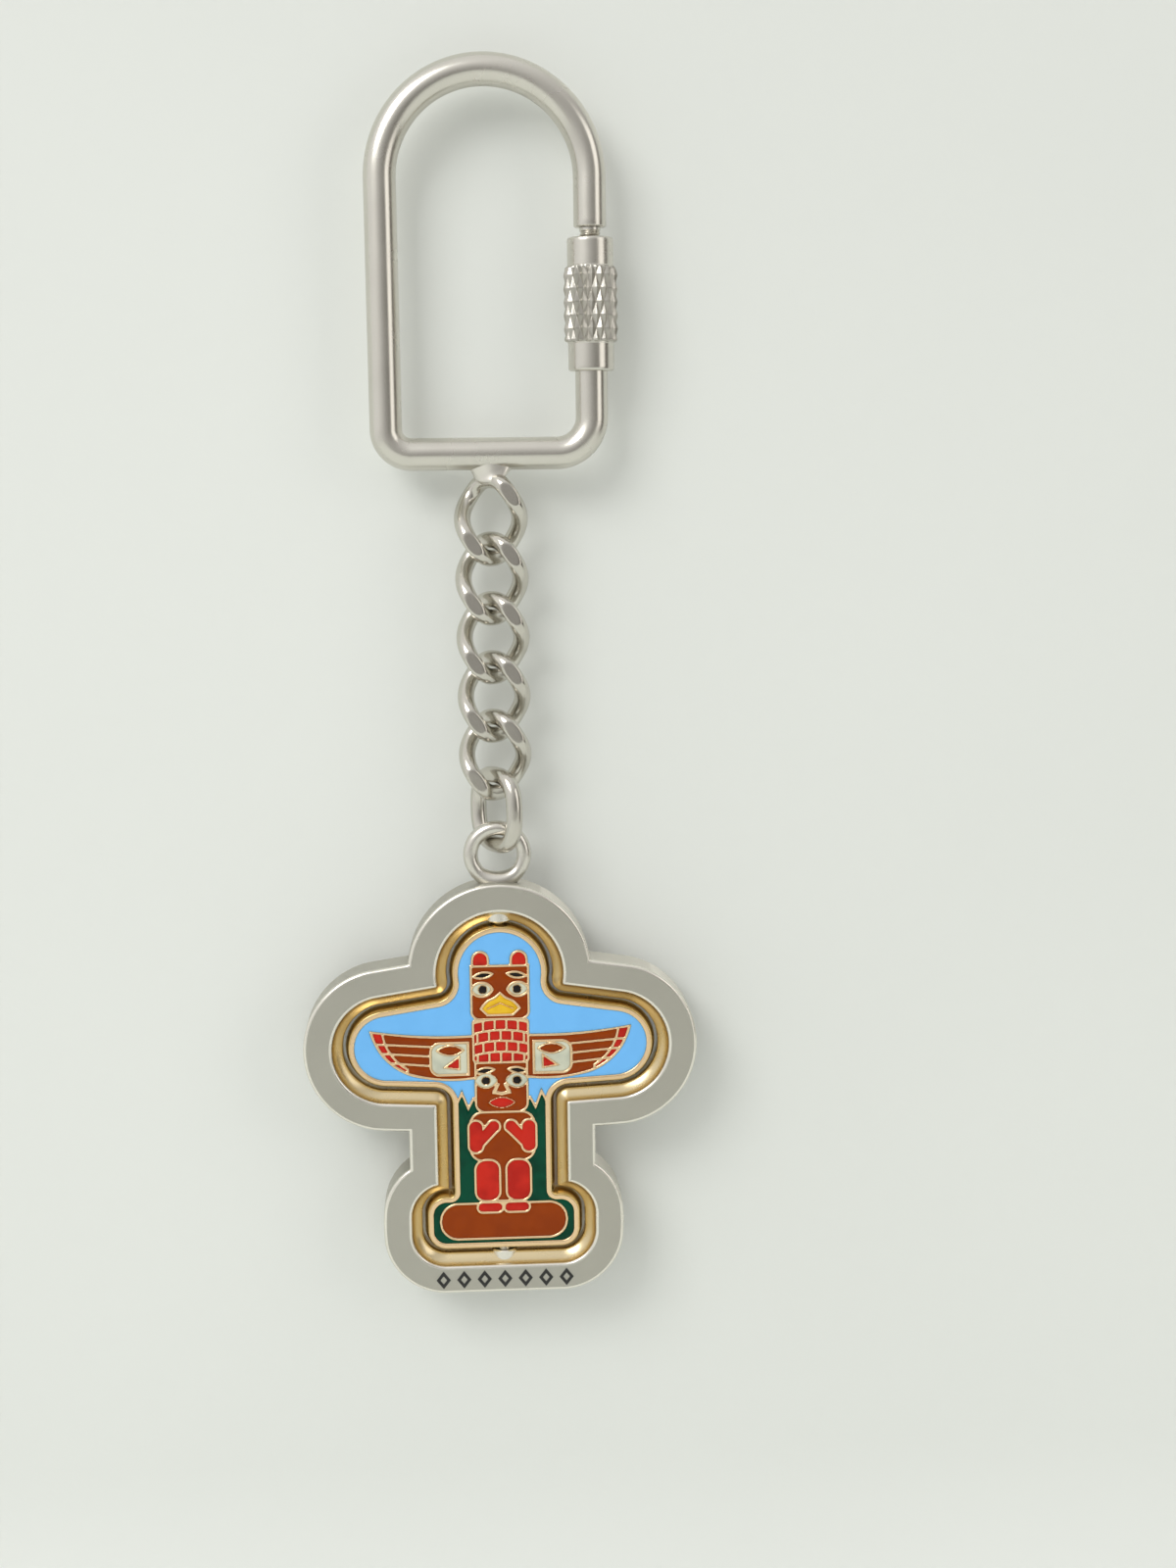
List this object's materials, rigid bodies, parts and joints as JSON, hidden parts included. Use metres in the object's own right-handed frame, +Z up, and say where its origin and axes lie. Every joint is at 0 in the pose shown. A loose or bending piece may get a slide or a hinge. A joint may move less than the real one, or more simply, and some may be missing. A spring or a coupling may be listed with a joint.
{
  "type": "spinner keychain",
  "caption": "Souvenir keychain: D ring with a screw lock sleeve, curb chain, and an enamelled medallion spinning in a cast frame.",
  "frame": {"origin": "inside top of the D ring's arch, where the keychain hangs on a hook", "axes": "+Z up along the hanging keychain, -Y towards the viewer of the picture side, +X to that viewer's right"},
  "size_m": [0.0378, 0.0064, 0.1168],
  "materials": {
    "satin_nickel": "satin nickel plate",
    "solder": "plated braze",
    "cast_nickel": "matte satin casting",
    "black_print": "printed ink",
    "gilt_brass": "polished gold plate",
    "enamel_sky": "glossy soft enamel",
    "enamel_green": "glossy soft enamel",
    "enamel_brown": "glossy soft enamel",
    "enamel_red": "glossy soft enamel",
    "enamel_yellow": "glossy soft enamel",
    "enamel_white": "glossy soft enamel",
    "enamel_black": "glossy soft enamel"
  },
  "bodies": {
    "ring": {"ring_frame": "satin_nickel", "solder_joint": "solder", "link_1": "satin_nickel"},
    "sleeve": {"lock_sleeve": "satin_nickel"},
    "chain_2": {"link_2": "satin_nickel"},
    "chain_3": {"link_3": "satin_nickel"},
    "chain_4": {"link_4": "satin_nickel"},
    "chain_5": {"link_5": "satin_nickel"},
    "chain_6": {"link_6": "satin_nickel"},
    "pendant": {"pendant_frame": "cast_nickel", "frame_paint": "black_print", "pin_top": "satin_nickel", "pin_bottom": "satin_nickel"},
    "spinner": {"medallion": "gilt_brass", "front_sky": "enamel_sky", "front_green": "enamel_green", "front_brown": "enamel_brown", "front_red": "enamel_red", "front_yellow": "enamel_yellow", "front_white": "enamel_white", "front_black": "enamel_black", "back_sky": "enamel_sky", "back_green": "enamel_green", "back_brown": "enamel_brown", "back_red": "enamel_red", "back_yellow": "enamel_yellow", "back_white": "enamel_white", "back_black": "enamel_black"}
  },
  "joints": [
    {"name": "sleeve_slide", "type": "slide", "parent": "ring", "child": "sleeve", "axis": [0, 0, 1], "range_m": [-0.0038, 0.0008]},
    {"name": "link_1_2", "type": "hinge", "parent": "ring", "child": "chain_2", "pos_m": [0, 0, -0.04249], "axis": [0.7071, 0.7071, 0], "range_deg": [-25, 25]},
    {"name": "link_2_3", "type": "hinge", "parent": "chain_2", "child": "chain_3", "pos_m": [0, 0, -0.04634], "axis": [0.7071, -0.7071, 0], "range_deg": [-25, 25]},
    {"name": "link_3_4", "type": "hinge", "parent": "chain_3", "child": "chain_4", "pos_m": [0, 0, -0.05359], "axis": [0.7071, 0.7071, 0], "range_deg": [-25, 25]},
    {"name": "link_4_5", "type": "hinge", "parent": "chain_4", "child": "chain_5", "pos_m": [0, 0, -0.05745], "axis": [0.7071, -0.7071, 0], "range_deg": [-25, 25]},
    {"name": "link_5_6", "type": "hinge", "parent": "chain_5", "child": "chain_6", "pos_m": [0, 0, -0.0647], "axis": [0.7071, 0.7071, 0], "range_deg": [-25, 25]},
    {"name": "eye_swing", "type": "hinge", "parent": "chain_6", "child": "pendant", "pos_m": [0, 0, -0.06975], "axis": [0.5736, -0.8192, 0], "range_deg": [-30, 30]},
    {"name": "medallion_spin", "type": "hinge", "parent": "pendant", "child": "spinner", "pos_m": [0, 0, -0.08872], "axis": [0, 0, 1], "continuous": true}
  ]
}
